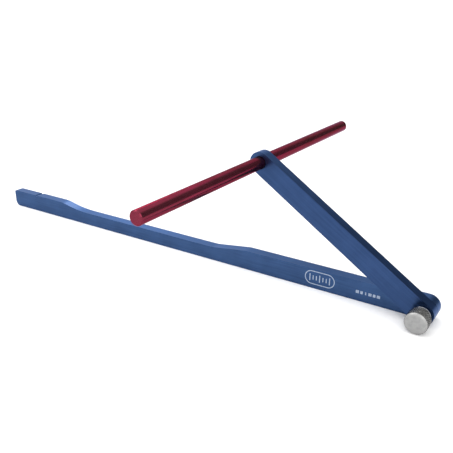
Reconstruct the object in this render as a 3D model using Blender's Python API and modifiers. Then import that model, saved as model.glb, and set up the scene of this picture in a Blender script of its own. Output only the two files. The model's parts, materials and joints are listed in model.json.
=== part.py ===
"""Two-arm setting gauge: a long bar and a short bar that turn on one pivot, a round rod that
crosses the short bar's eye, and a knurled knob that clamps the pivot.

Metres, +Z up. The long arm stands on its lower edge along X, with the pivot at the +X end.
The rod runs along Y, and the knob faces -Y. The origin is on the standing surface, under the
middle of the model's box.

Pieces are drawn in bench frames, whose x runs right, y runs up and z comes towards the knob.
"""

import math

import bmesh
import bpy

# Driving dimensions
BAR_HEIGHT = 0.020
BAR_THICKNESS = 0.0105
WAIST_HEIGHT = 0.0144
TIP_REACH = 0.527            # pivot axis to the long arm's free end
ROD_REACH = 0.190            # pivot axis to rod axis
LIFT = math.radians(33.7)    # short arm's angle above the long arm
ROD_LENGTH = 0.352
ROD_RADIUS = 0.006
STUD_RADIUS = 0.003
KNOB_RADIUS = 0.00995
FIT_GAP = 0.0003             # between pieces that touch
ARM_GAP = 0.0004             # between the two arms
EDGE_BREAK = 0.0005

# Places along the bench frames' z, from the far side to the knob
END_RADIUS = BAR_HEIGHT / 2
LONG_FRONT = -0.0016
LONG_BACK = LONG_FRONT - BAR_THICKNESS
SHORT_BACK = LONG_FRONT + ARM_GAP
SHORT_FRONT = SHORT_BACK + BAR_THICKNESS
SHORT_MIDDLE = (SHORT_BACK + SHORT_FRONT) / 2
KNOB_FRONT = 0.0276
KNURL_BACK = 0.0154

# Pivot stack
BORE_RADIUS = 0.005
SLEEVE_RADIUS = BORE_RADIUS - FIT_GAP
STUD_BORE = STUD_RADIUS + FIT_GAP
POCKET_RADIUS = 0.0088
POCKET_DEPTH = 0.0009
RECESS_RADIUS = 0.0065
RECESS_DEPTH = 0.0035
COLLAR_RADIUS = 0.0065
WASHER_RADIUS = 0.008
WASHER_THICKNESS = 0.0012
WAVE_RADIUS = 0.0065
WAVE_THICKNESS = 0.0003
WAVE_RISE = 0.00015
STUD_GROOVE_RADIUS = 0.0025
STUD_CHAMFER = 0.0006
CLIP_THICKNESS = 0.0007
CLIP_RADIUS = 0.0052

# Eye
EYE_BORE = ROD_RADIUS + FIT_GAP
RING_WIRE = 0.0006
RING_SPACING = 0.0054
RING_GROOVE_WIDTH = 2 * (RING_WIRE + FIT_GAP)
RING_GROOVE_RADIUS = EYE_BORE + RING_GROOVE_WIDTH - FIT_GAP

# Long arm's outline, measured from the pivot axis
TIP_SHOULDER = -0.4395       # where the slope behind the tip leaves full height
TIP_SLOPE_FOOT = -0.411
RAMP_FOOT = -0.2175
RAMP_TOP = -0.178
MARK_GROOVE_X = -0.486
MARK_GROOVE_RADIUS = 0.0022
MARK_GROOVE_DEPTH = 0.0012

ARC_STEP = math.radians(7.5)
BORE_SIDES = 48
OVERCUT = 0.001


def clear_scene():
    for old in list(bpy.data.objects):
        bpy.data.objects.remove(old, do_unlink=True)


def new_collection(name):
    collection = bpy.data.collections.new(name)
    bpy.context.scene.collection.children.link(collection)
    return collection


def make_material(name, colour, roughness, metallic):
    material = bpy.data.materials.new(name)
    material.use_nodes = True
    shader = material.node_tree.nodes["Principled BSDF"]
    shader.inputs["Base Color"].default_value = (*colour, 1.0)
    shader.inputs["Roughness"].default_value = roughness
    shader.inputs["Metallic"].default_value = metallic
    material.diffuse_color = (*colour, 1.0)
    return material


def make_frame(name, location, rotation, parent=None):
    """An empty that holds the pieces drawn in one bench frame."""
    frame = bpy.data.objects.new(name, None)
    frame.empty_display_size = 0.02
    frame.location = location
    frame.rotation_euler = rotation
    frame.parent = parent
    parts.objects.link(frame)
    return frame


def add_piece(name, mesh, frame, location, material):
    piece = bpy.data.objects.new(name, mesh)
    piece.parent = frame
    piece.location = location
    mesh.materials.clear()
    mesh.materials.append(material)
    mesh.shade_smooth()
    mesh.set_sharp_from_angle(angle=math.radians(30))
    parts.objects.link(piece)
    return piece


def round_corners(corners):
    """Outline points from (x, y, radius) corners, each corner turned into an arc."""
    points = []
    count = len(corners)
    for i, (x, y, radius) in enumerate(corners):
        before = corners[i - 1]
        after = corners[(i + 1) % count]
        into = math.atan2(y - before[1], x - before[0])
        out_of = math.atan2(after[1] - y, after[0] - x)
        turn = math.remainder(out_of - into, math.tau)
        side = math.copysign(1.0, turn)
        setback = radius * math.tan(abs(turn) / 2)
        centre_x = x - setback * math.cos(into) - side * radius * math.sin(into)
        centre_y = y - setback * math.sin(into) + side * radius * math.cos(into)
        steps = max(3, math.ceil(abs(turn) / ARC_STEP))
        for k in range(steps + 1):
            heading = into + turn * k / steps
            point = (centre_x + side * radius * math.sin(heading),
                     centre_y - side * radius * math.cos(heading))
            if not points or math.dist(point, points[-1]) > 1e-6:
                points.append(point)
    if math.dist(points[0], points[-1]) < 1e-6:
        points.pop()
    return points


def flat_mesh(name, points, thickness):
    """A flat outline given a thickness, as a mesh centred on z = 0."""
    curve = bpy.data.curves.new(name, "CURVE")
    curve.dimensions = "2D"
    curve.fill_mode = "BOTH"
    curve.extrude = thickness / 2
    spline = curve.splines.new("POLY")
    spline.points.add(len(points) - 1)
    for point, (x, y) in zip(spline.points, points):
        point.co = (x, y, 0.0, 1.0)
    spline.use_cyclic_u = True
    holder = bpy.data.objects.new(name + "_outline", curve)
    bpy.context.scene.collection.objects.link(holder)
    evaluated = holder.evaluated_get(bpy.context.evaluated_depsgraph_get())
    mesh = bpy.data.meshes.new_from_object(evaluated)
    bpy.data.objects.remove(holder, do_unlink=True)
    bpy.data.curves.remove(curve)
    solid = bmesh.new()
    solid.from_mesh(mesh)
    bmesh.ops.remove_doubles(solid, verts=solid.verts, dist=1e-6)
    bmesh.ops.dissolve_limit(solid, angle_limit=math.radians(0.2), verts=solid.verts, edges=solid.edges)
    bmesh.ops.recalc_face_normals(solid, faces=solid.faces)
    solid.to_mesh(mesh)
    solid.free()
    return mesh


def turned_piece(name, profile, frame, location, material, steps=BORE_SIDES, closed=True):
    """A profile of (radius, z) points, outer side first and running down, turned about z."""
    mesh = bpy.data.meshes.new(name)
    points = [(radius, 0.0, z) for radius, z in profile]
    edges = [(i, i + 1) for i in range(len(points) - 1)]
    if closed:
        edges.append((len(points) - 1, 0))
    mesh.from_pydata(points, edges, [])
    piece = add_piece(name, mesh, frame, location, material)
    screw = piece.modifiers.new("turn", "SCREW")
    screw.steps = steps
    screw.render_steps = steps
    screw.use_merge_vertices = True
    screw.merge_threshold = 0.00001
    screw.use_smooth_shade = True
    return piece


def sleeve_profile(outer, inner, top, bottom, break_width):
    """A ring's section with its two outer edges broken."""
    return [(outer - break_width, top), (outer, top - break_width),
            (outer, bottom + break_width), (outer - break_width, bottom),
            (inner, bottom), (inner, top)]


def cutter(name, radius, low, high, frame, x=0.0, y=0.0):
    """A round cutter along the frame's z."""
    mesh = bpy.data.meshes.new(name)
    solid = bmesh.new()
    bmesh.ops.create_cone(solid, cap_ends=True, segments=BORE_SIDES, radius1=radius,
                          radius2=radius, depth=high - low)
    solid.to_mesh(mesh)
    solid.free()
    tool = bpy.data.objects.new(name, mesh)
    tool.parent = frame
    tool.location = (x, y, (low + high) / 2)
    tool.hide_render = True
    tool.display_type = "WIRE"
    cutters.objects.link(tool)
    return tool


def cut(piece, *tools):
    for tool in tools:
        boolean = piece.modifiers.new("cut_" + tool.name, "BOOLEAN")
        boolean.operation = "DIFFERENCE"
        boolean.solver = "EXACT"
        boolean.object = tool


def break_edges(piece):
    bevel = piece.modifiers.new("edge_break", "BEVEL")
    bevel.width = EDGE_BREAK
    bevel.segments = 2
    bevel.limit_method = "ANGLE"
    bevel.angle_limit = math.radians(40)


def long_arm(frame, material):
    """Full height at the tip and from the ramp to the pivot, with a thinner waist between."""
    low = -END_RADIUS
    high = END_RADIUS
    waist = low + WAIST_HEIGHT
    corners = [
        (END_RADIUS, low, END_RADIUS), (END_RADIUS, high, END_RADIUS),
        (RAMP_TOP, high, 0.040), (RAMP_FOOT, waist, 0.040),
        (TIP_SLOPE_FOOT, waist, 0.150), (TIP_SHOULDER, high, 0.050),
        (-TIP_REACH, high, 0.0025), (-TIP_REACH, low, 0.0065),
    ]
    mesh = flat_mesh("long_arm", round_corners(corners), BAR_THICKNESS)
    arm = add_piece("long_arm", mesh, frame, (0, 0, (LONG_FRONT + LONG_BACK) / 2), material)
    groove = cutter("mark_groove_cutter", MARK_GROOVE_RADIUS, LONG_BACK - OVERCUT,
                    LONG_FRONT + OVERCUT, frame,
                    MARK_GROOVE_X, high + MARK_GROOVE_RADIUS - MARK_GROOVE_DEPTH)
    bore = cutter("long_bore_cutter", BORE_RADIUS, LONG_BACK - OVERCUT, LONG_FRONT + OVERCUT, frame)
    pocket = cutter("pocket_cutter", POCKET_RADIUS, LONG_FRONT - POCKET_DEPTH,
                    LONG_FRONT + OVERCUT, frame)
    recess = cutter("recess_cutter", RECESS_RADIUS, LONG_BACK - OVERCUT,
                    LONG_BACK + RECESS_DEPTH, frame)
    cut(arm, groove, bore)
    break_edges(arm)
    cut(arm, pocket, recess)
    return arm


def short_arm(frame, material):
    """A bar with round ends, bored for the pivot at one end and for the rod at the other."""
    low = -END_RADIUS
    high = END_RADIUS
    far = -ROD_REACH - END_RADIUS
    corners = [(END_RADIUS, low, END_RADIUS), (END_RADIUS, high, END_RADIUS),
               (far, high, END_RADIUS), (far, low, END_RADIUS)]
    mesh = flat_mesh("short_arm", round_corners(corners), BAR_THICKNESS)
    arm = add_piece("short_arm", mesh, frame, (0, 0, SHORT_MIDDLE), material)
    back = SHORT_BACK - OVERCUT
    front = SHORT_FRONT + OVERCUT
    bore = cutter("short_bore_cutter", BORE_RADIUS, back, front, frame)
    eye = cutter("eye_cutter", EYE_BORE, back, front, frame, -ROD_REACH)
    cut(arm, bore, eye)
    break_edges(arm)
    for side, label in ((1, "front"), (-1, "rear")):
        middle = SHORT_MIDDLE + side * RING_SPACING / 2
        low = middle - RING_GROOVE_WIDTH / 2
        high = middle + RING_GROOVE_WIDTH / 2
        cut(arm, cutter(label + "_groove_cutter", RING_GROOVE_RADIUS, low, high, frame, -ROD_REACH))
    return arm


def o_ring(label, side, frame, material):
    """A rubber ring in one of the eye's two grooves."""
    centre_radius = EYE_BORE + RING_WIRE
    sides = 12
    section = []
    for i in range(sides):
        angle = math.pi / 2 - math.tau * i / sides
        section.append((centre_radius + RING_WIRE * math.cos(angle), RING_WIRE * math.sin(angle)))
    place = (-ROD_REACH, 0, SHORT_MIDDLE + side * RING_SPACING / 2)
    return turned_piece(label + "_o_ring", section, frame, place, material)


def cross_rod(frame, material):
    half = ROD_LENGTH / 2
    chamfer = 0.0009
    profile = [(0, half), (ROD_RADIUS - chamfer, half), (ROD_RADIUS, half - chamfer),
               (ROD_RADIUS, chamfer - half), (ROD_RADIUS - chamfer, -half), (0, -half)]
    return turned_piece("cross_rod", profile, frame, (-ROD_REACH, 0, 0), material, closed=False)


def thumb_knob(frame, material):
    """Flat face, wide bevel and full-width grip, with a narrower collar towards the arms."""
    face_radius = 0.0069
    bevel_depth = 0.0014
    back_chamfer = 0.0006
    collar_end = washer_front + FIT_GAP
    bore_end = 0.0222
    profile = [
        (0, KNOB_FRONT), (face_radius, KNOB_FRONT), (KNOB_RADIUS - 0.0012, KNOB_FRONT - 0.0006),
        (KNOB_RADIUS, KNOB_FRONT - bevel_depth), (KNOB_RADIUS, KNURL_BACK + back_chamfer),
        (KNOB_RADIUS - back_chamfer, KNURL_BACK), (COLLAR_RADIUS, KNURL_BACK),
        (COLLAR_RADIUS, collar_end), (STUD_BORE, collar_end), (STUD_BORE, bore_end), (0, bore_end),
    ]
    return turned_piece("thumb_knob", profile, frame, (0, 0, 0), material, closed=False)


def pivot_stud(frame, material):
    """Threaded along its length on the real part; plain here, with the clip's groove."""
    top = 0.0219
    bottom = LONG_BACK + FIT_GAP
    groove_low = clip_middle - CLIP_THICKNESS / 2 - FIT_GAP
    groove_high = clip_middle + CLIP_THICKNESS / 2 + FIT_GAP
    profile = [
        (0, top), (STUD_RADIUS - STUD_CHAMFER, top), (STUD_RADIUS, top - STUD_CHAMFER),
        (STUD_RADIUS, groove_high), (STUD_GROOVE_RADIUS, groove_high),
        (STUD_GROOVE_RADIUS, groove_low), (STUD_RADIUS, groove_low),
        (STUD_RADIUS, bottom + STUD_CHAMFER / 2), (STUD_RADIUS - STUD_CHAMFER / 2, bottom), (0, bottom),
    ]
    return turned_piece("pivot_stud", profile, frame, (0, 0, 0), material, steps=32, closed=False)


def retaining_clip(frame, material):
    """A flat C-shaped clip whose mouth opens downwards."""
    inner = STUD_GROOVE_RADIUS + FIT_GAP
    half_mouth = math.radians(32)
    steps = 20
    angles = [-math.pi / 2 + half_mouth + (math.tau - 2 * half_mouth) * i / steps
              for i in range(steps + 1)]
    outline = [(CLIP_RADIUS * math.cos(a), CLIP_RADIUS * math.sin(a)) for a in angles]
    outline += [(inner * math.cos(a), inner * math.sin(a)) for a in reversed(angles)]
    mesh = flat_mesh("retaining_clip", outline, CLIP_THICKNESS)
    return add_piece("retaining_clip", mesh, frame, (0, 0, clip_middle), material)


def wave_washer(frame, material):
    """A thin ring bent into three waves."""
    sides = 48
    waves = 3
    lowest = SHORT_FRONT + FIT_GAP
    mesh = bpy.data.meshes.new("wave_washer")
    ring = bmesh.new()
    section = [(WAVE_RADIUS, WAVE_THICKNESS / 2), (WAVE_RADIUS, -WAVE_THICKNESS / 2),
               (STUD_BORE + 0.0002, -WAVE_THICKNESS / 2), (STUD_BORE + 0.0002, WAVE_THICKNESS / 2)]
    start = [ring.verts.new((radius, 0, z)) for radius, z in section]
    loop = [ring.edges.new((start[i], start[(i + 1) % 4])) for i in range(4)]
    bmesh.ops.spin(ring, geom=start + loop, cent=(0, 0, 0), axis=(0, 0, 1),
                   angle=math.tau, steps=sides, use_merge=True)
    bmesh.ops.remove_doubles(ring, verts=ring.verts, dist=1e-6)
    bmesh.ops.recalc_face_normals(ring, faces=ring.faces)
    for vert in ring.verts:
        vert.co.z += WAVE_RISE * math.sin(waves * math.atan2(vert.co.y, vert.co.x))
    ring.to_mesh(mesh)
    ring.free()
    middle = lowest + WAVE_THICKNESS / 2 + WAVE_RISE
    return add_piece("wave_washer", mesh, frame, (0, 0, middle), material)


clear_scene()
parts = new_collection("setting_gauge")
cutters = new_collection("cutters")

blue = make_material("blue_anodised", (0.030, 0.075, 0.210), 0.38, 0.85)
red = make_material("red_anodised", (0.300, 0.012, 0.035), 0.22, 0.85)
silver = make_material("silver_aluminium", (0.620, 0.620, 0.610), 0.35, 1.0)
steel = make_material("steel", (0.480, 0.480, 0.490), 0.30, 1.0)
spring_steel = make_material("spring_steel", (0.110, 0.105, 0.100), 0.40, 1.0)
bronze = make_material("bronze", (0.430, 0.260, 0.110), 0.40, 1.0)
nylon = make_material("nylon", (0.640, 0.620, 0.560), 0.55, 0.0)
rubber = make_material("rubber", (0.015, 0.015, 0.016), 0.70, 0.0)

# Heights in the washer stack and of the clip
washer_back = SHORT_FRONT + 2 * FIT_GAP + WAVE_THICKNESS + 2 * WAVE_RISE
washer_front = washer_back + WASHER_THICKNESS
clip_middle = LONG_BACK + 0.00125

# The pivot frame is fixed; the short arm's frame is lifted about the pivot axis.
pivot_x = (TIP_REACH - END_RADIUS) / 2
pivot_frame = make_frame("pivot_frame", (pivot_x, 0, END_RADIUS), (math.pi / 2, 0, 0))
arm_frame = make_frame("short_arm_frame", (0, 0, 0), (0, 0, -LIFT), pivot_frame)

long_arm(pivot_frame, blue)
short_arm(arm_frame, blue)
cross_rod(arm_frame, red)
o_ring("front", 1, arm_frame, rubber)
o_ring("rear", -1, arm_frame, rubber)

turned_piece("thread_insert",
             sleeve_profile(SLEEVE_RADIUS, STUD_BORE, LONG_FRONT - POCKET_DEPTH - FIT_GAP,
                            LONG_BACK + RECESS_DEPTH + FIT_GAP, 0.0003),
             pivot_frame, (0, 0, 0), steel)
turned_piece("friction_washer",
             sleeve_profile(POCKET_RADIUS - FIT_GAP, STUD_BORE, SHORT_BACK - FIT_GAP,
                            LONG_FRONT - POCKET_DEPTH + FIT_GAP, 0.0001),
             pivot_frame, (0, 0, 0), nylon)
turned_piece("pivot_bush",
             sleeve_profile(SLEEVE_RADIUS, STUD_BORE, SHORT_FRONT - FIT_GAP,
                            SHORT_BACK + FIT_GAP, 0.0003),
             arm_frame, (0, 0, 0), bronze)
wave_washer(arm_frame, spring_steel)
turned_piece("flat_washer",
             sleeve_profile(WASHER_RADIUS, STUD_BORE, washer_front, washer_back, 0.0002),
             pivot_frame, (0, 0, 0), steel)
thumb_knob(pivot_frame, silver)
pivot_stud(pivot_frame, steel)
retaining_clip(pivot_frame, spring_steel)
bpy.context.view_layer.update()
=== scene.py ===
"""The look of the two-arm setting gauge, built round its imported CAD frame."""

import json
import math

import bmesh
import bpy
from mathutils import Matrix, Vector


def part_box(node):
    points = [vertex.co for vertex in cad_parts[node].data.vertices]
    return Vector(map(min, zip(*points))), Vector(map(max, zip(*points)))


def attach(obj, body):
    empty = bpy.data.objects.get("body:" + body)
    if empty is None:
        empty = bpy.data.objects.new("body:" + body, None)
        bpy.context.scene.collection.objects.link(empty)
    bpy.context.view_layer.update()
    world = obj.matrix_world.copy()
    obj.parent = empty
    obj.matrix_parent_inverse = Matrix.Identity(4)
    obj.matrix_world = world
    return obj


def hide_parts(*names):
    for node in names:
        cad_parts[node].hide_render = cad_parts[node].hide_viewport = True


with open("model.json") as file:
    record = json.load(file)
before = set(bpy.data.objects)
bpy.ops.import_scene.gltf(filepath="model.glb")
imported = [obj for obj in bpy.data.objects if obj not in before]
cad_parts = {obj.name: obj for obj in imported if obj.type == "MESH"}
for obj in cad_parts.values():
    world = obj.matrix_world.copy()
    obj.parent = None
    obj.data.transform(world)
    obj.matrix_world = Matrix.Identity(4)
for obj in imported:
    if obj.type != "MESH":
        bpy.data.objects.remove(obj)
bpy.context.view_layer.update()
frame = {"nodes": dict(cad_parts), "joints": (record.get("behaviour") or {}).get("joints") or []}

MM = 0.001
MERGE = 1e-7  # points nearer than this, in metres, are one point
ROUND_SIDES = 96

# ---------------------------------------------------------------- places, from the CAD frame
joints = {joint["name"]: joint for joint in frame["joints"]}
pivot = Vector(joints["arm_hinge"]["pos_m"])
long_low, long_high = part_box("long_arm")
short_low, short_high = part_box("short_arm")
rod_low, rod_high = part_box("cross_rod")
knob_low, knob_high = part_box("thumb_knob")
stud_low, stud_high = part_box("pivot_stud")
clip_low, clip_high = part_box("retaining_clip")
washer_low, washer_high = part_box("flat_washer")

eye = (rod_low + rod_high) / 2
lift = math.atan2(eye.z - pivot.z, pivot.x - eye.x)
rod_reach = math.hypot(eye.z - pivot.z, pivot.x - eye.x)
rod_radius = (rod_high.z - rod_low.z) / 2
end_radius = (long_high.z - long_low.z) / 2
tip = pivot.x - long_low.x

# Bench frames, as in the CAD: x runs right, y runs up the face and z comes towards the knob.
PIVOT = Matrix.Translation((pivot.x, 0, pivot.z)) @ Matrix.Rotation(math.pi / 2, 4, "X")
ARM = PIVOT @ Matrix.Rotation(-lift, 4, "Z")
ROD = ARM @ Matrix.Translation((-rod_reach, 0, 0))

LONG_FRONT, LONG_BACK = -long_low.y, -long_high.y
SHORT_FRONT, SHORT_BACK = -short_low.y, -short_high.y


# ---------------------------------------------------------------- mesh helpers
def rounded(corners, step=4.0, closed=True):
    """Points along straight runs whose (x, y, radius) corners are arcs."""
    points = []
    count = len(corners)
    for i, (x, y, radius) in enumerate(corners):
        if radius == 0 or (not closed and i in (0, count - 1)):
            points.append((x, y))
            continue
        before = corners[i - 1]
        after = corners[(i + 1) % count]
        into = math.atan2(y - before[1], x - before[0])
        out_of = math.atan2(after[1] - y, after[0] - x)
        turn = math.remainder(out_of - into, math.tau)
        side = math.copysign(1.0, turn)
        setback = radius * math.tan(abs(turn) / 2)
        centre_x = x - setback * math.cos(into) - side * radius * math.sin(into)
        centre_y = y - setback * math.sin(into) + side * radius * math.cos(into)
        steps = max(3, math.ceil(math.degrees(abs(turn)) / step))
        for k in range(steps + 1):
            heading = into + turn * k / steps
            point = (centre_x + side * radius * math.sin(heading),
                     centre_y - side * radius * math.cos(heading))
            if not points or math.dist(point, points[-1]) > MERGE:
                points.append(point)
    if closed and math.dist(points[0], points[-1]) < MERGE:
        points.pop()
    return points


def circle(radius, sides=ROUND_SIDES, x=0.0, y=0.0):
    angles = [math.tau * i / sides for i in range(sides)]
    return [(x + radius * math.cos(angle), y + radius * math.sin(angle)) for angle in angles]


def link(name, mesh, matrix):
    piece = bpy.data.objects.new(name, mesh)
    bpy.context.scene.collection.objects.link(piece)
    piece.matrix_world = matrix
    return piece


def evaluated_mesh(holder):
    evaluated = holder.evaluated_get(bpy.context.evaluated_depsgraph_get())
    return bpy.data.meshes.new_from_object(evaluated)


def plate_mesh(name, outlines, low, high):
    """A closed plate between two heights. The first outline is its edge, the others are holes."""
    curve = bpy.data.curves.new(name, "CURVE")
    curve.dimensions = "2D"
    curve.fill_mode = "BOTH"
    curve.extrude = (high - low) / 2
    for outline in outlines:
        spline = curve.splines.new("POLY")
        spline.points.add(len(outline) - 1)
        for point, (x, y) in zip(spline.points, outline):
            point.co = (x, y, 0.0, 1.0)
        spline.use_cyclic_u = True
    holder = link(name + "_outline", curve, Matrix.Identity(4))
    mesh = evaluated_mesh(holder)
    bpy.data.objects.remove(holder, do_unlink=True)
    solid = bmesh.new()
    solid.from_mesh(mesh)
    bmesh.ops.remove_doubles(solid, verts=solid.verts, dist=MERGE)
    bmesh.ops.dissolve_limit(solid, angle_limit=math.radians(0.1), verts=solid.verts,
                             edges=solid.edges)
    bmesh.ops.recalc_face_normals(solid, faces=solid.faces)
    bmesh.ops.translate(solid, verts=solid.verts, vec=(0, 0, (high + low) / 2))
    solid.to_mesh(mesh)
    solid.free()
    return mesh


def apply_modifiers(piece):
    mesh = evaluated_mesh(piece)
    piece.modifiers.clear()
    piece.data = mesh


def cut(piece, matrix, disc, low, high):
    """Removes a round column from a piece. disc is (x, y, radius)."""
    x, y, radius = disc
    column = plate_mesh("cut_tool", [circle(radius, x=x, y=y)], low, high)
    tool = link("cut_tool", column, matrix)
    boolean = piece.modifiers.new("cut", "BOOLEAN")
    boolean.operation = "DIFFERENCE"
    boolean.solver = "EXACT"
    boolean.object = tool
    apply_modifiers(piece)
    bpy.data.objects.remove(tool, do_unlink=True)


def break_edges(piece, width, segments=3):
    """Rounds a piece's sharp edges. The new faces carry the attribute "worn"."""
    bevel = piece.modifiers.new("edge_break", "BEVEL")
    bevel.width = width
    bevel.segments = segments
    bevel.limit_method = "ANGLE"
    bevel.angle_limit = math.radians(40)
    bevel.harden_normals = True
    bevel.material = 1
    piece.data.materials.clear()
    piece.data.materials.append(None)
    piece.data.materials.append(None)
    piece.data.shade_smooth()
    piece.data.set_sharp_from_angle(angle=math.radians(35))
    apply_modifiers(piece)
    mesh = piece.data
    worn = mesh.attributes.new("worn", "FLOAT", "FACE")
    worn.data.foreach_set("value", [float(face.material_index == 1) for face in mesh.polygons])
    mesh.polygons.foreach_set("material_index", [0] * len(mesh.polygons))
    mesh.update()


def ring_points(radius, z, sides):
    if radius <= 0:
        return [(0.0, 0.0, z)]
    return [(x, y, z) for x, y in circle(radius, sides)]


def skin(name, rings, matrix, sharp=32, looped=False):
    """A closed surface through rings of points, all of one length or a single point on the axis.

    A looped surface joins its last ring to its first, as a washer's does.
    """
    solid = bmesh.new()
    rows = [[solid.verts.new(point) for point in ring] for ring in rings]
    following = rows[1:] + rows[:1] if looped else rows[1:]
    for above, below in zip(rows, following):
        count = max(len(above), len(below))
        for i in range(count):
            j = (i + 1) % count
            if len(above) == 1:
                solid.faces.new((above[0], below[i], below[j]))
            elif len(below) == 1:
                solid.faces.new((above[i], below[0], above[j]))
            else:
                solid.faces.new((above[i], below[i], below[j], above[j]))
    bmesh.ops.recalc_face_normals(solid, faces=solid.faces)
    mesh = bpy.data.meshes.new(name)
    solid.to_mesh(mesh)
    solid.free()
    mesh.shade_smooth()
    mesh.set_sharp_from_angle(angle=math.radians(sharp))
    return link(name, mesh, matrix)


def lathe(name, corners, matrix, sides=ROUND_SIDES, closed=False):
    """Turns a profile of (radius, z, fillet) corners about z. A closed profile makes a ring."""
    profile = rounded(corners, step=18.0, closed=closed)
    rings = [ring_points(radius, z, sides) for radius, z in profile]
    return skin(name, rings, matrix, looped=closed)


# ---------------------------------------------------------------- material helpers
class Tree:
    """A material's node tree, with short calls for its nodes."""

    def __init__(self, name):
        self.material = bpy.data.materials.new(name)
        self.material.use_nodes = True
        self.nodes = self.material.node_tree.nodes
        self.links = self.material.node_tree.links
        self.shader = self.nodes["Principled BSDF"]

    def feed(self, socket, value):
        if isinstance(value, bpy.types.NodeSocket):
            self.links.new(value, socket)
        elif socket.type == "RGBA" and len(value) == 3:
            socket.default_value = (*value, 1.0)
        else:
            socket.default_value = value

    def node(self, kind, values=(), **settings):
        made = self.nodes.new("ShaderNode" + kind)
        for key, value in settings.items():
            setattr(made, key, value)
        for key, value in dict(values).items():
            self.feed(made.inputs[key], value)
        return made

    def set(self, **values):
        for key, value in values.items():
            self.feed(self.shader.inputs[key.replace("_", " ")], value)

    def place(self, scale):
        """Object coordinates, stretched by a different number along each axis."""
        coordinates = self.node("TexCoord").outputs["Object"]
        return self.node("Mapping", {"Vector": coordinates, "Scale": scale}).outputs["Vector"]

    def noise(self, scale, detail=3.0, roughness=0.5, at=None):
        values = {"Vector": at or self.place((1, 1, 1)), "Scale": scale, "Detail": detail,
                  "Roughness": roughness}
        return self.node("TexNoise", values).outputs["Fac"]

    def ramp(self, value, low, high, to_low=0.0, to_high=1.0):
        values = {"Value": value, "From Min": low, "From Max": high,
                  "To Min": to_low, "To Max": to_high}
        return self.node("MapRange", values).outputs["Result"]

    def math(self, operation, a, b):
        made = self.node("Math", operation=operation)
        self.feed(made.inputs[0], a)
        self.feed(made.inputs[1], b)
        return made.outputs[0]

    def mix(self, factor, a, b):
        made = self.node("Mix", data_type="RGBA")
        self.feed(made.inputs[0], factor)
        self.feed(made.inputs[6], a)
        self.feed(made.inputs[7], b)
        return made.outputs[2]

    def bump(self, height, strength, distance, normal=None):
        values = {"Height": height, "Strength": strength, "Distance": distance}
        if normal is not None:
            values["Normal"] = normal
        return self.node("Bump", values).outputs["Normal"]


def anodised_bar(name, deep, pale, bare):
    """Satin dyed aluminium bar: drawn grain along x, a fine blasted tooth, and edges worn paler."""
    tree = Tree(name)
    drawn = tree.noise(1.0, 4.0, 0.6, at=tree.place((28, 900, 900)))
    patches = tree.noise(45.0, 3.0)
    tooth = tree.noise(5200.0, 2.0, 0.6)
    shade = tree.math("ADD", tree.math("MULTIPLY", drawn, 0.55),
                      tree.math("MULTIPLY", patches, 0.45))
    body = tree.mix(tree.ramp(shade, 0.36, 0.64), deep, pale)
    edge = tree.node("Attribute", attribute_name="worn").outputs["Fac"]
    rub = tree.ramp(tree.noise(160.0, 4.0, 0.65), 0.43, 0.66, 0.06, 0.80)
    wear = tree.math("MULTIPLY", edge, rub)
    tree.set(Base_Color=tree.mix(wear, body, bare), Metallic=1.0, Specular_Tint=(0.55, 0.65, 0.90),
             Coat_Weight=0.15, Coat_Roughness=0.15,
             Roughness=tree.ramp(tree.math("ADD", drawn, patches), 0.7, 1.3, 0.30, 0.42))
    fine = tree.bump(drawn, 0.10, 0.00006)
    tree.set(Normal=tree.bump(tooth, 0.18, 0.00003, fine))
    return tree.material


def anodised_rod():
    """Glossy red dyed rod with fine lines round it and faint scuffs along it."""
    tree = Tree("rod_red")
    lines = tree.noise(1.0, 3.0, 0.6, at=tree.place((60, 60, 2600)))
    scuffs = tree.noise(1.0, 4.0, 0.6, at=tree.place((900, 900, 30)))
    patches = tree.noise(30.0, 2.0)
    body = tree.mix(tree.ramp(patches, 0.35, 0.65), (0.135, 0.012, 0.027), (0.190, 0.017, 0.040))
    marked = tree.mix(tree.ramp(scuffs, 0.62, 0.80, 0.0, 0.35), body, (0.40, 0.09, 0.12))
    tree.set(Base_Color=marked, Metallic=1.0, Coat_Weight=0.25, Coat_Roughness=0.5,
             Specular_Tint=(0.50, 0.28, 0.40),
             Roughness=tree.ramp(lines, 0.3, 0.7, 0.15, 0.24))
    tree.set(Normal=tree.bump(lines, 0.10, 0.00002))
    return tree.material


def bare_metal(tree, place, dark, light, rough, depth):
    """Tool lines laid along the place vector, soft stains and a varied sheen."""
    lines = tree.noise(1.0, 3.0, 0.6, at=place)
    stains = tree.noise(420.0, 4.0, 0.6)
    sheen = tree.ramp(tree.math("ADD", lines, stains), 0.7, 1.3, rough - 0.07, rough + 0.09)
    tree.set(Base_Color=tree.mix(tree.ramp(stains, 0.35, 0.7), light, dark), Metallic=1.0,
             Roughness=sheen)
    tree.set(Normal=tree.bump(lines, depth, 0.00003))
    return tree.material


def turned_metal(name, dark, light, rough):
    """Bare metal with fine tool lines round its z axis."""
    tree = Tree(name)
    return bare_metal(tree, tree.place((60, 60, 5200)), dark, light, rough, 0.14)


def faced_metal(name, dark, light, rough):
    """Bare metal turned on its end, with fine rings about its z axis."""
    tree = Tree(name)
    ring_scale = 4200.0
    coordinates = tree.node("TexCoord").outputs["Object"]
    split = tree.node("SeparateXYZ", {"Vector": coordinates})
    x, y, z = (split.outputs[axis] for axis in "XYZ")
    across = tree.math("ADD", tree.math("MULTIPLY", x, x), tree.math("MULTIPLY", y, y))
    radius = tree.math("POWER", across, 0.5)
    place = tree.node("CombineXYZ", {"X": tree.math("MULTIPLY", radius, ring_scale),
                                     "Y": tree.math("MULTIPLY", z, ring_scale)})
    return bare_metal(tree, place.outputs["Vector"], dark, light, rough, 0.16)


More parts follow.
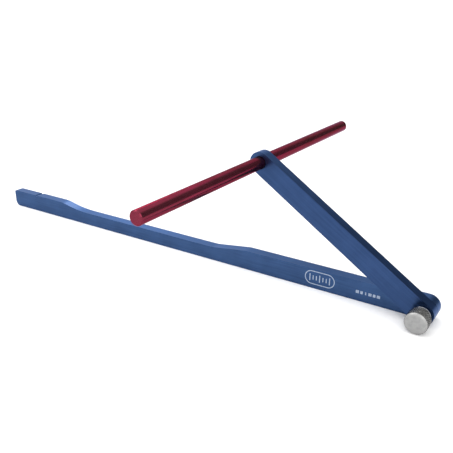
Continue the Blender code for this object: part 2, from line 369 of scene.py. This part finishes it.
def soft_solid(name, dark, light, rough, grain, depth):
    """Nylon or rubber: mottled colour, an uneven sheen and a fine moulded tooth."""
    tree = Tree(name)
    mottle = tree.noise(300.0, 3.0)
    tooth = tree.noise(grain, 2.0, 0.6)
    tree.set(Base_Color=tree.mix(tree.ramp(mottle, 0.35, 0.65), dark, light),
             Roughness=tree.ramp(mottle, 0.3, 0.7, rough - 0.06, rough + 0.08))
    tree.set(Normal=tree.bump(tooth, 0.25, depth))
    return tree.material


def printed():
    """Pale marking ink, a little thin in places."""
    tree = Tree("marking")
    thin = tree.noise(900.0, 3.0, 0.6)
    shade = tree.mix(tree.ramp(thin, 0.35, 0.7), (0.34, 0.40, 0.50), (0.20, 0.26, 0.38))
    tree.set(Base_Color=shade, Metallic=0.2, Roughness=tree.ramp(thin, 0.3, 0.7, 0.45, 0.6))
    tree.set(Normal=tree.bump(thin, 0.1, 0.00002))
    return tree.material


long_blue = anodised_bar("long_blue", deep=(0.025, 0.056, 0.137), pale=(0.036, 0.080, 0.192),
                         bare=(0.16, 0.22, 0.34))
short_blue = anodised_bar("short_blue", deep=(0.020, 0.046, 0.122), pale=(0.029, 0.064, 0.166),
                          bare=(0.14, 0.20, 0.32))
red = anodised_rod()
# The knurled side's metal below is the knob's metal made darker: painted shade on the knurled side
# and in the knurl's hollows. The face's metal is the lighter copy.
knurl_metal_painted_shade = turned_metal("knurl_metal_painted_shade", (0.06, 0.06, 0.059), (0.20, 0.20, 0.195), 0.18)
face_metal = faced_metal("face_metal", (0.28, 0.28, 0.28), (0.34, 0.34, 0.335), 0.38)
steel = faced_metal("steel", (0.36, 0.36, 0.37), (0.52, 0.52, 0.53), 0.30)
spring_steel = turned_metal("spring_steel", (0.05, 0.05, 0.05), (0.12, 0.115, 0.11), 0.40)
bronze = turned_metal("bronze", (0.34, 0.20, 0.08), (0.48, 0.30, 0.13), 0.38)
nylon = soft_solid("nylon", (0.58, 0.56, 0.49), (0.68, 0.66, 0.60), 0.52, 2600.0, 0.00004)
rubber = soft_solid("rubber", (0.012, 0.012, 0.013), (0.022, 0.022, 0.023), 0.66, 3200.0, 0.00005)
ink = printed()


def dress(piece, material, body, slot, *nodes):
    """Gives a piece its material and its body, and hides the CAD nodes that it stands for. The slot
    argument is not used.
    """
    piece.data.materials.clear()
    piece.data.materials.append(material)
    if nodes:
        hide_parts(*nodes)
    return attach(piece, body)


def redress(node, material):
    """Gives a CAD node that stays in view its material."""
    mesh = frame["nodes"][node].data
    mesh.materials.clear()
    mesh.materials.append(material)


# ---------------------------------------------------------------- long arm
EDGE_BREAK = 0.5 * MM
PIVOT_BORE = 5.0 * MM
PAST = 1.0 * MM  # how far a cutting tool stands out of the piece
WAIST = 14.4 * MM - end_radius
groove_x = -486 * MM
groove_radius = 2.2 * MM
groove_depth = 1.2 * MM
groove_half = math.sqrt(groove_radius ** 2 - (groove_radius - groove_depth) ** 2)
groove_turn = math.asin(groove_half / groove_radius)


def groove_arc():
    """The round-bottomed mark groove in the tip's top edge, from right to left."""
    centre_y = end_radius + groove_radius - groove_depth
    steps = 10
    arc = []
    for i in range(steps + 1):
        angle = groove_turn - 2 * groove_turn * i / steps
        arc.append((groove_x + groove_radius * math.sin(angle),
                    centre_y - groove_radius * math.cos(angle), 0))
    return arc


long_outline = rounded([
    (end_radius, -end_radius, end_radius), (end_radius, end_radius, end_radius),
    (-178 * MM, end_radius, 40 * MM), (-217.5 * MM, WAIST, 40 * MM),
    (-411 * MM, WAIST, 150 * MM), (-439.5 * MM, end_radius, 50 * MM),
    *groove_arc(),
    (-tip, end_radius, 2.5 * MM), (-tip, -end_radius, 6.5 * MM),
], step=3.0)
long_mesh = plate_mesh("long_bar", [long_outline, circle(PIVOT_BORE)], LONG_BACK, LONG_FRONT)
long_arm = link("long_bar", long_mesh, PIVOT)
recess_radius, recess_depth = 8.8 * MM, 0.9 * MM  # takes the friction washer
counterbore_radius, counterbore_depth = 6.5 * MM, 3.5 * MM  # takes the retaining clip
cut(long_arm, PIVOT, (0, 0, recess_radius), LONG_FRONT - recess_depth, LONG_FRONT + PAST)
cut(long_arm, PIVOT, (0, 0, counterbore_radius), LONG_BACK - PAST, LONG_BACK + counterbore_depth)
break_edges(long_arm, EDGE_BREAK)
dress(long_arm, long_blue, "base", "blue_anodised", "long_arm")

# ---------------------------------------------------------------- short arm
far = -rod_reach - end_radius
short_outline = rounded([
    (end_radius, -end_radius, end_radius), (end_radius, end_radius, end_radius),
    (far, end_radius, end_radius), (far, -end_radius, end_radius),
], step=3.0)
eye_bore = rod_radius + 0.3 * MM
short_mesh = plate_mesh("short_bar", [short_outline, circle(PIVOT_BORE),
                                      circle(eye_bore, x=-rod_reach)], SHORT_BACK, SHORT_FRONT)
short_arm = link("short_bar", short_mesh, ARM)
break_edges(short_arm, EDGE_BREAK)
middle = (SHORT_FRONT + SHORT_BACK) / 2
ring_offset, ring_radius, ring_half = 2.7 * MM, 7.8 * MM, 0.9 * MM  # rubber ring grooves
for ring_z in (middle - ring_offset, middle + ring_offset):
    cut(short_arm, ARM, (-rod_reach, 0, ring_radius), ring_z - ring_half, ring_z + ring_half)
dress(short_arm, short_blue, "arm", "blue_anodised", "short_arm")

# ---------------------------------------------------------------- cross rod
half_rod = (rod_high.y - rod_low.y) / 2
end_break, end_fillet = 0.9 * MM, 0.15 * MM
rod_corners = [
    (0, half_rod, 0),
    (rod_radius - end_break, half_rod, end_fillet), (rod_radius, half_rod - end_break, end_fillet),
    (rod_radius, end_break - half_rod, end_fillet), (rod_radius - end_break, -half_rod, end_fillet),
    (0, -half_rod, 0),
]
rod_piece = lathe("rod", rod_corners, ROD, sides=128)
dress(rod_piece, red, "rod", "red_anodised", "cross_rod")

# ---------------------------------------------------------------- thumb knob
knob_radius = (knob_high.z - knob_low.z) / 2
knob_front = -knob_low.y
knob_back = -knob_high.y
KNURL_BACK = 15.4 * MM
KNURL_DEPTH = 0.45 * MM
KNURL_STARTS = 36
KNURL_SAMPLES = 8
KNURL_ANGLE = math.radians(30)
KNURL_PITCH = math.tau * knob_radius / KNURL_STARTS / math.tan(KNURL_ANGLE)
KNURL_FLAT = 1.8  # steepens the diamonds' sides, so that their tops are flat
FACE_RADIUS = 7.9 * MM
BEVEL_RADIUS = 8.6 * MM
BEVEL_START = 0.35 * MM  # the wide bevel's two ends, measured back from the face
BEVEL_END = 1.5 * MM
BEVEL_ROWS = 10
BACK_BREAK = 0.6 * MM
BACK_ROWS = 4
COLLAR_RADIUS = 6.5 * MM
HOLE_RADIUS = 3.3 * MM
HOLE_END = 22.2 * MM


def saw(value):
    """0 at each whole number and 1 half-way between."""
    return 1 - abs(2 * (value % 1.0) - 1)


def knurled(limit, angle, z):
    """Radius of the diamond knurl, cut back to the turned profile's own radius."""
    turn = KNURL_STARTS * angle / math.tau
    height = min(saw(turn + z / KNURL_PITCH), saw(turn - z / KNURL_PITCH))
    return min(limit, knob_radius - KNURL_DEPTH * (1 - min(1.0, KNURL_FLAT * height)))


def shaped_ring(radius_at, limit, z, sides):
    """A ring whose radius changes round it: radius_at(limit, angle, z)."""
    ring = []
    for i in range(sides):
        angle = math.tau * i / sides
        radius = radius_at(limit, angle, z)
        ring.append((radius * math.cos(angle), radius * math.sin(angle), z))
    return ring


def run(start, end, rows):
    """Evenly spaced (radius, z) points between two, with the end but not the start."""
    return [(start[0] + (end[0] - start[0]) * k / rows, start[1] + (end[1] - start[1]) * k / rows)
            for k in range(1, rows + 1)]


def knob_rings():
    """Rings from the middle of the face, over bevel and grip, to the end of the stud's hole."""
    sides = KNURL_STARTS * KNURL_SAMPLES
    bevel_start = (BEVEL_RADIUS, knob_front - BEVEL_START)
    shoulder = (knob_radius, knob_front - BEVEL_END)
    back_shoulder = (knob_radius, KNURL_BACK + BACK_BREAK)
    grip_rows = round((shoulder[1] - back_shoulder[1]) / (KNURL_PITCH / KNURL_SAMPLES))
    face = rounded([(0, knob_front, 0), (FACE_RADIUS, knob_front, 0.25 * MM), (*bevel_start, 0)],
                   step=12.0, closed=False)
    grip = [*run(bevel_start, shoulder, BEVEL_ROWS), *run(shoulder, back_shoulder, grip_rows),
            *run(back_shoulder, (knob_radius - BACK_BREAK, KNURL_BACK), BACK_ROWS)]
    collar = rounded([(7.2 * MM, KNURL_BACK, 0), (COLLAR_RADIUS, KNURL_BACK, 0.4 * MM),
                      (COLLAR_RADIUS, knob_back, 0.35 * MM), (3.6 * MM, knob_back, 0.3 * MM),
                      (HOLE_RADIUS, knob_back + 0.4 * MM, 0), (HOLE_RADIUS, HOLE_END, 0),
                      (0, HOLE_END, 0)], step=18.0, closed=False)
    return [*(ring_points(radius, z, sides) for radius, z in face),
            *(shaped_ring(knurled, limit, z, sides) for limit, z in grip),
            *(ring_points(radius, z, sides) for radius, z in collar)]


knob = skin("knob", knob_rings(), PIVOT, sharp=50)
dress(knob, knurl_metal_painted_shade, "knob", "silver_aluminium", "thumb_knob")
knob.data.materials.append(face_metal)
# Forward-facing faces near the front get the lighter metal. The rest of the knob, the knurl's
# hollows included, keeps the darker copy, which is painted shade.
for face in knob.data.polygons:
    if face.center.z > knob_front - BEVEL_END and face.normal.z > 0.7:
        face.material_index = 1

# ---------------------------------------------------------------- stud with its M6 thread
stud_radius = (stud_high.z - stud_low.z) / 2
stud_front = -stud_low.y
stud_back = -stud_high.y
clip_middle = -(clip_low.y + clip_high.y) / 2
clip_half = (clip_high.y - clip_low.y) / 2
STUD_SIDES = 48
THREAD_PITCH = 1.0 * MM
THREAD_DEPTH = 0.54 * MM
THREAD_ROWS = 10  # rings of points in each turn of the thread
POINT_BREAK = 0.6 * MM
NECK_RADIUS = 2.5 * MM
NECK_GAP = 0.3 * MM  # between the clip and each wall of its groove
TAIL_BREAK = 0.3 * MM


def threaded(limit, angle, z):
    """Radius of the thread, with its crests and roots cut flat."""
    ridge = min(1.0, max(0.0, 1.25 * saw(z / THREAD_PITCH + angle / math.tau) - 0.125))
    return min(limit, stud_radius - THREAD_DEPTH * (1 - ridge))


def stud_rings():
    """Rings from the stud's front end, along the thread and the clip's groove, to its back end."""
    high_wall = clip_middle + clip_half + NECK_GAP
    low_wall = clip_middle - clip_half - NECK_GAP
    stops = [(stud_radius - POINT_BREAK, stud_front), (stud_radius, stud_front - POINT_BREAK),
             (stud_radius, high_wall)]
    thread = []
    for start, end in zip(stops, stops[1:]):
        rows = max(2, round(abs(end[1] - start[1]) / THREAD_PITCH * THREAD_ROWS))
        thread += [start, *run(start, end, rows)]
    tail = [(NECK_RADIUS, high_wall), (NECK_RADIUS, low_wall), (stud_radius, low_wall),
            (stud_radius, stud_back + TAIL_BREAK), (stud_radius - TAIL_BREAK, stud_back),
            (1.0 * MM, stud_back), (0.5 * MM, stud_back + 0.5 * MM), (0, stud_back + 0.8 * MM)]
    rings = [[(0.0, 0.0, stud_front)],
             *(shaped_ring(threaded, limit, z, STUD_SIDES) for limit, z in thread),
             *(ring_points(radius, z, STUD_SIDES) for radius, z in tail)]
    clean = [rings[0]]
    for ring in rings[1:]:
        if (Vector(ring[0]) - Vector(clean[-1][0])).length > MERGE:
            clean.append(ring)
    return clean


stud = skin("stud", stud_rings(), PIVOT, sharp=30)
dress(stud, steel, "knob", "steel", "pivot_stud")

# ---------------------------------------------------------------- retaining clip
def clip_outline():
    """An E-shaped clip: an open ring with three lugs that reach the stud's groove."""
    outer, relief, lug = 5.15 * MM, 3.75 * MM, 2.85 * MM
    half_mouth = math.radians(34)
    lug_places = (0.04, 0.5, 0.96)  # shares of the sweep
    lug_half, lug_flank = math.radians(12), math.radians(10)
    start = -math.pi / 2 + half_mouth
    sweep = math.tau - 2 * half_mouth
    steps = 90
    outside, inside = [], []
    for i in range(steps + 1):
        share = i / steps
        near = min(abs(share - place) for place in lug_places) * sweep
        blend = min(1.0, max(0.0, (near - lug_half) / lug_flank))
        radius = lug + (relief - lug) * blend * blend * (3 - 2 * blend)
        angle = start + sweep * share
        outside.append((outer * math.cos(angle), outer * math.sin(angle)))
        inside.append((radius * math.cos(angle), radius * math.sin(angle)))
    return outside + inside[::-1]


clip_mesh = plate_mesh("clip", [clip_outline()], clip_middle - clip_half, clip_middle + clip_half)
clip = link("clip", clip_mesh, PIVOT)
break_edges(clip, 0.08 * MM, 2)
dress(clip, spring_steel, "knob", "spring_steel", "retaining_clip")

# ---------------------------------------------------------------- flat washer
washer_radius = (washer_high.z - washer_low.z) / 2
washer = lathe("plain_washer", [
    (washer_radius, -washer_low.y, 0.25 * MM), (washer_radius, -washer_high.y, 0.12 * MM),
    (HOLE_RADIUS, -washer_high.y, 0.1 * MM), (HOLE_RADIUS, -washer_low.y, 0.15 * MM),
], PIVOT, closed=True)
dress(washer, steel, "washer", "steel", "flat_washer")

# ---------------------------------------------------------------- CAD pieces that stay
redress("wave_washer", spring_steel)
redress("pivot_bush", bronze)
redress("thread_insert", steel)
redress("friction_washer", nylon)
redress("front_o_ring", rubber)
redress("rear_o_ring", rubber)


# ---------------------------------------------------------------- printed marks
INK_SUNK, INK_PROUD = 0.01 * MM, 0.03 * MM
BADGE_X, BADGE_Y = -97.5 * MM, 1.0 * MM
STROKE_STEP, LONG_STROKE, SHORT_STROKE = 3.3 * MM, 3.6 * MM, 2.2 * MM
DASH_X, DASH_Y, DASH_STEP = -60.5 * MM, -1.0 * MM, 3.9 * MM
DASH_HALVES = (1.5, 1.2, 0.5, 1.5, 1.2, 1.5)  # half-widths in millimetres


def rounded_box(x, y, half_width, half_height, radius):
    return rounded([(x - half_width, y - half_height, radius),
                    (x + half_width, y - half_height, radius),
                    (x + half_width, y + half_height, radius),
                    (x - half_width, y + half_height, radius)], step=6.0)


def mark(name, outlines):
    mesh = plate_mesh(name, outlines, LONG_FRONT - INK_SUNK, LONG_FRONT + INK_PROUD)
    dress(link(name, mesh, PIVOT), ink, "base", "silver_aluminium")


mark("mark_frame", [rounded_box(BADGE_X, BADGE_Y, half_width, half_height, half_height)
                    for half_width, half_height in ((15 * MM, 6.9 * MM), (14.2 * MM, 6.1 * MM))])
for i in range(7):
    height = LONG_STROKE if i % 3 == 0 else SHORT_STROKE
    stroke_x = BADGE_X + (i - 3) * STROKE_STEP
    mark("mark_scale_%d" % i, [rounded_box(stroke_x, BADGE_Y, 0.45 * MM, height, 0.2 * MM)])
for i, half_width in enumerate(DASH_HALVES):
    dash = rounded_box(DASH_X + i * DASH_STEP, DASH_Y, half_width * MM, 1.4 * MM, 0.3 * MM)
    mark("mark_dash_%d" % i, [dash])

# ---------------------------------------------------------------- stage
FLOOR_HALF = 9.0
FLOOR_DROP = 0.2 * MM
floor_mesh = bpy.data.meshes.new("floor")
floor_mesh.from_pydata([(-FLOOR_HALF, -FLOOR_HALF, 0), (FLOOR_HALF, -FLOOR_HALF, 0),
                        (FLOOR_HALF, FLOOR_HALF, 0), (-FLOOR_HALF, FLOOR_HALF, 0)],
                       [], [(0, 1, 2, 3)])
floor = link("floor", floor_mesh, Matrix.Translation((0, 0, -FLOOR_DROP)))
floor_tree = Tree("floor_white")
floor_tree.set(Base_Color=(0.92, 0.92, 0.92), Roughness=0.75, Specular_IOR_Level=0.1,
               Emission_Color=(1.0, 1.0, 1.0), Emission_Strength=0.10)
floor.data.materials.append(floor_tree.material)

world = bpy.data.worlds.new("studio")
bpy.context.scene.world = world
world.use_nodes = True

DOME_LIGHT = 1.50
DOME_DARK = 0.32
BACK_DIM = 0.70
DOME_SEEN = 1.2  # what the camera sees of the dome


def dome():
    """A pale dome, dimmer low down behind the object and dark to the right of there.

    The camera sees plain white.
    """
    nodes, links = world.node_tree.nodes, world.node_tree.links
    split = nodes.new("ShaderNodeSeparateXYZ")
    links.new(nodes.new("ShaderNodeTexCoord").outputs["Generated"], split.inputs[0])

    def band(source, start, end, to_start=0.0, to_end=1.0):
        ramp = nodes.new("ShaderNodeMapRange")
        ramp.interpolation_type = "SMOOTHSTEP"
        links.new(source, ramp.inputs["Value"])
        for socket, value in zip(list(ramp.inputs)[1:5], (start, end, to_start, to_end)):
            socket.default_value = value
        return ramp.outputs["Result"]

    def times(a, b):
        made = nodes.new("ShaderNodeMath")
        made.operation = "MULTIPLY"
        links.new(a, made.inputs[0])
        links.new(b, made.inputs[1])
        return made.outputs[0]

    x, y, z = (split.outputs[axis] for axis in "XYZ")
    low = band(z, 0.62, 0.85, 1.0, 0.0)
    dark = times(times(band(x, -0.30, 0.36), band(y, 0.0, 0.35)), low)
    dim = times(band(y, 0.70, 0.88), low)
    light = times(band(dark, 0.0, 1.0, DOME_LIGHT, DOME_DARK), band(dim, 0.0, 1.0, 1.0, BACK_DIM))
    eye_ray = nodes.new("ShaderNodeLightPath").outputs["Is Camera Ray"]
    seen = nodes.new("ShaderNodeMix")
    links.new(eye_ray, seen.inputs[0])
    links.new(light, seen.inputs[2])
    seen.inputs[3].default_value = DOME_SEEN
    links.new(seen.outputs[0], nodes["Background"].inputs["Strength"])
    nodes["Background"].inputs["Color"].default_value = (1.0, 1.0, 1.0, 1.0)


dome()


def soft_light(name, place, aim, size, power):
    """A square area light that the camera doesn't see."""
    data = bpy.data.lights.new(name, "AREA")
    data.shape = "SQUARE"
    data.size = size
    data.energy = power
    light = bpy.data.objects.new(name, data)
    bpy.context.scene.collection.objects.link(light)
    light.location = place
    light.visible_camera = False
    light.rotation_euler = (Vector(aim) - Vector(place)).to_track_quat("-Z", "Y").to_euler()
    return light


soft_light("key", (-0.9, -0.7, 1.3), (0, 0, 0.03), size=0.9, power=3.2)
soft_light("back", (-0.84, 0.81, 0.79), (-0.165, 0, 0.018), size=0.25, power=1.3)
soft_light("fill", (0.9, -1.1, 0.8), (0.1, 0, 0.03), size=0.8, power=2.5)
glint = soft_light("glint", (-0.60, -0.45, 1.15), (0.1, 0, 0.06), size=0.22, power=4.5)
glint.visible_diffuse = False  # shows in gloss only

# ---------------------------------------------------------------- camera
CAMERA_PLACE = (0.358749, -0.455969, 0.260032)
CAMERA_TURN = math.radians(33.326)  # leftwards from +Y
CAMERA_TILT = math.radians(21.813)  # downwards
camera_data = bpy.data.cameras.new("camera")
camera_data.sensor_width = 36.0
camera_data.lens = 47.10
camera_data.clip_start = 0.01
camera_data.clip_end = 50.0
camera = bpy.data.objects.new("camera", camera_data)
bpy.context.scene.collection.objects.link(camera)
level = Vector((-math.sin(CAMERA_TURN), math.cos(CAMERA_TURN), 0))
forward = level * math.cos(CAMERA_TILT) - Vector((0, 0, math.sin(CAMERA_TILT)))
right = Vector((math.cos(CAMERA_TURN), math.sin(CAMERA_TURN), 0))
up = right.cross(forward)
axes = Matrix((right, up, -forward)).transposed().to_4x4()
camera.matrix_world = Matrix.Translation(CAMERA_PLACE) @ axes
bpy.context.scene.camera = camera
bpy.context.scene.view_settings.view_transform = "Standard"
